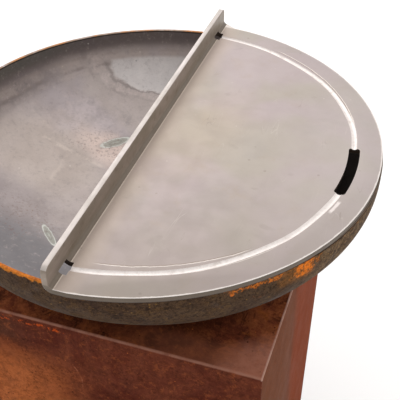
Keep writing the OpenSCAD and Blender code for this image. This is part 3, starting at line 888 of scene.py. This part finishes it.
def bowl_profile(inset):
    """Distance from the axis and height along the bowl's face, from the bottom's middle to the rim."""
    crown_steps, knuckle_steps = 28, 16
    crown, knuckle = CROWN_R - inset, KNUCKLE_R - inset
    points = [(0.0, CROWN_Z - crown)]
    for i in range(1, crown_steps + 1):
        a = JOIN_ANGLE * i / crown_steps
        points.append((crown * math.sin(a), CROWN_Z - crown * math.cos(a)))
    for i in range(1, knuckle_steps + 1):
        a = JOIN_ANGLE + (math.pi / 2 - JOIN_ANGLE) * i / knuckle_steps
        points.append((KNUCKLE_X + knuckle * math.sin(a), KNUCKLE_Z - knuckle * math.cos(a)))
    points.append((BOWL_R - inset, RIM_Z - RIM_CHAMFER))
    return points


def build_bowl():
    steps = 240
    outer = bowl_profile(0.0)
    inner = bowl_profile(BOWL_T)
    lip = [(BOWL_R - RIM_CHAMFER, RIM_Z), (BOWL_R - BOWL_T + RIM_CHAMFER, RIM_Z)]
    profile = outer + lip + inner[::-1]
    verts = [(0, 0, profile[0][1])]
    rings = profile[1:-1]
    for r, z in rings:
        for k in range(steps):
            a = 2 * math.pi * k / steps
            verts.append((r * math.cos(a), r * math.sin(a), z))
    verts.append((0, 0, profile[-1][1]))
    faces, slots = [], []
    outer_rings = len(outer) - 1
    for k in range(steps):
        m = (k + 1) % steps
        faces.append([0, 1 + m, 1 + k])
        slots.append(OUTSIDE)
        last = 1 + (len(rings) - 1) * steps
        faces.append([len(verts) - 1, last + k, last + m])
        slots.append(INSIDE)
    for i in range(len(rings) - 1):
        slot = OUTSIDE if i < outer_rings - 1 else RIM if i < outer_rings + 2 else INSIDE
        for k in range(steps):
            m = (k + 1) % steps
            a, b = 1 + i * steps, 1 + (i + 1) * steps
            faces.append([a + k, a + m, b + m, b + k])
            slots.append(slot)
    bowl = new_object(
        "bowl", verts, faces, BOWL_FINISHES, "bowl", ["fire_bowl"], "mill_scale_steel"
    )
    for polygon, slot in zip(bowl.data.polygons, slots):
        polygon.material_index = slot
    smooth(bowl, 40)


# ---------------------------------------------------------------- pedestal

def arch(half, height, radius, steps=8):
    """Outline of a wall from its lower left corner over the rounded top to its lower right corner."""
    points = [(-half, 0.0)]
    points += arc((-half + radius, height - radius), radius, math.pi, math.pi / 2, steps)
    points += arc((half - radius, height - radius), radius, math.pi / 2, 0, steps)
    points.append((half, 0.0))
    return points


def build_shell():
    outer = arch(HALF_W, TOP_Z, FOLD_R)
    inner = arch(HALF_W - SHEET_T, TOP_Z - SHEET_T, FOLD_R - SHEET_T)
    ring = outer + inner[::-1]
    verts = [(x, y, z) for x in (-HALF_W, HALF_W) for y, z in ring]
    n, half = len(ring), len(outer)
    faces = []
    for i in range(n):
        j = (i + 1) % n
        faces.append([i, j, n + j, n + i])
    for i in range(half - 1):
        for base in (0, n):
            faces.append([base + i, base + i + 1, base + n - 2 - i, base + n - 1 - i])
    shell = new_object(
        "pedestal", verts, faces, [SHELL_RUST], "pedestal", ["pedestal_shell"], "weathering_steel"
    )
    bevel(shell, 0.8 * MM, angle=50)
    smooth(shell, 40)


def build_side(name, side):
    gap = 0.25 * MM
    outline = arch(HALF_W - SHEET_T - gap, TOP_Z - SHEET_T - gap, FOLD_R - SHEET_T)
    outer_x = side * (HALF_W - 0.3 * MM)
    inner_x = side * (HALF_W - SHEET_T)
    n = len(outline)
    verts = [(x, y, z) for x in (outer_x, inner_x) for y, z in outline]
    faces = [list(range(n)), [n + i for i in range(n)][::-1]]
    faces += [[i, (i + 1) % n, n + (i + 1) % n, n + i] for i in range(n)]
    panel = new_object(name, verts, faces, [PANEL_RUST], "pedestal", [name], "weathering_steel")
    bevel(panel, 0.6 * MM, angle=50)
    smooth(panel, 40)


# ---------------------------------------------------------------- stage, light and camera

def stage():
    n = Nodes("studio_floor")
    n.colour = n.mix(n.noise(2.0, 2, 0.5), srgb(250, 250, 250), srgb(252, 252, 251))
    floor_paint = n.finish(0.9, 0.0, 0.2, n.noise(40, 3), 0.1 * MM)
    half = 9.0
    corners = [(-half, -half, 0), (half, -half, 0), (half, half, 0), (-half, half, 0)]
    floor = new_object("floor", corners, [[0, 1, 2, 3]], [floor_paint])


def area_light(name, place, target, size, power):
    light = bpy.data.lights.new(name, "AREA")
    light.shape = "SQUARE"
    light.size = size
    light.energy = power
    obj = bpy.data.objects.new(name, light)
    bpy.context.scene.collection.objects.link(obj)
    obj.location = place
    obj.rotation_euler = (Vector(target) - Vector(place)).to_track_quat("-Z", "Y").to_euler()


def light_scene():
    world = bpy.data.worlds.new("studio")
    bpy.context.scene.world = world
    world.use_nodes = True
    tree = world.node_tree
    tree.nodes.clear()
    out = tree.nodes.new("ShaderNodeOutputWorld")
    back = tree.nodes.new("ShaderNodeBackground")
    tree.links.new(back.outputs[0], out.inputs[0])
    coord = tree.nodes.new("ShaderNodeTexCoord")
    facing = tree.nodes.new("ShaderNodeVectorMath")
    facing.operation = "DOT_PRODUCT"
    facing.inputs[1].default_value = Vector((-0.1, 0.75, 0.65)).normalized()
    tree.links.new(coord.outputs["Generated"], facing.inputs[0])
    ramp = tree.nodes.new("ShaderNodeMapRange")
    ramp.inputs["From Min"].default_value = -0.6
    ramp.inputs["From Max"].default_value = 0.8
    ramp.inputs["To Min"].default_value = 0.62
    ramp.inputs["To Max"].default_value = 1.25
    tree.links.new(facing.outputs["Value"], ramp.inputs["Value"])
    tree.links.new(ramp.outputs["Result"], back.inputs["Strength"])
    back.inputs["Color"].default_value = (1.0, 0.995, 0.99, 1)
    area_light("key", (-2.0, 2.6, 3.4), (0, 0, 0.8), 3.0, 40)


def camera():
    """From 18 degrees to the right of the front, looking down at 39.3 degrees, 1.63 m above the ground."""
    azimuth, elevation, roll = math.radians(18.0), math.radians(39.256), math.radians(0.469)
    target = Vector((0.1189, -0.1408, PLATE_TOP))
    distance = 1.1365
    back = Vector((
        math.sin(azimuth) * math.cos(elevation),
        -math.cos(azimuth) * math.cos(elevation),
        math.sin(elevation),
    ))
    data = bpy.data.cameras.new("camera")
    data.lens = 73.35
    data.sensor_width = 36.0
    data.clip_end = 50
    obj = bpy.data.objects.new("camera", data)
    bpy.context.scene.collection.objects.link(obj)
    rotation = back.to_track_quat("Z", "Y").to_matrix() @ Matrix.Rotation(roll, 3, "Z")
    obj.matrix_world = Matrix.Translation(target + back * distance) @ rotation.to_4x4()
    bpy.context.scene.camera = obj


build_griddle()
build_bowl()
build_shell()
build_side("right_panel", 1)
build_side("left_panel", -1)
for node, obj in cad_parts.items():
    if node.startswith(("foot_front", "foot_back")):
        finish = FOOT_STEEL
    elif node.endswith("welds"):
        finish = WELD
    elif node.startswith(("rib", "base_rail")):
        finish = INNER_RUST
    else:
        continue
    for slot in obj.material_slots:
        slot.material = finish
stage()
light_scene()
camera()
bpy.context.scene.view_settings.view_transform = "Standard"
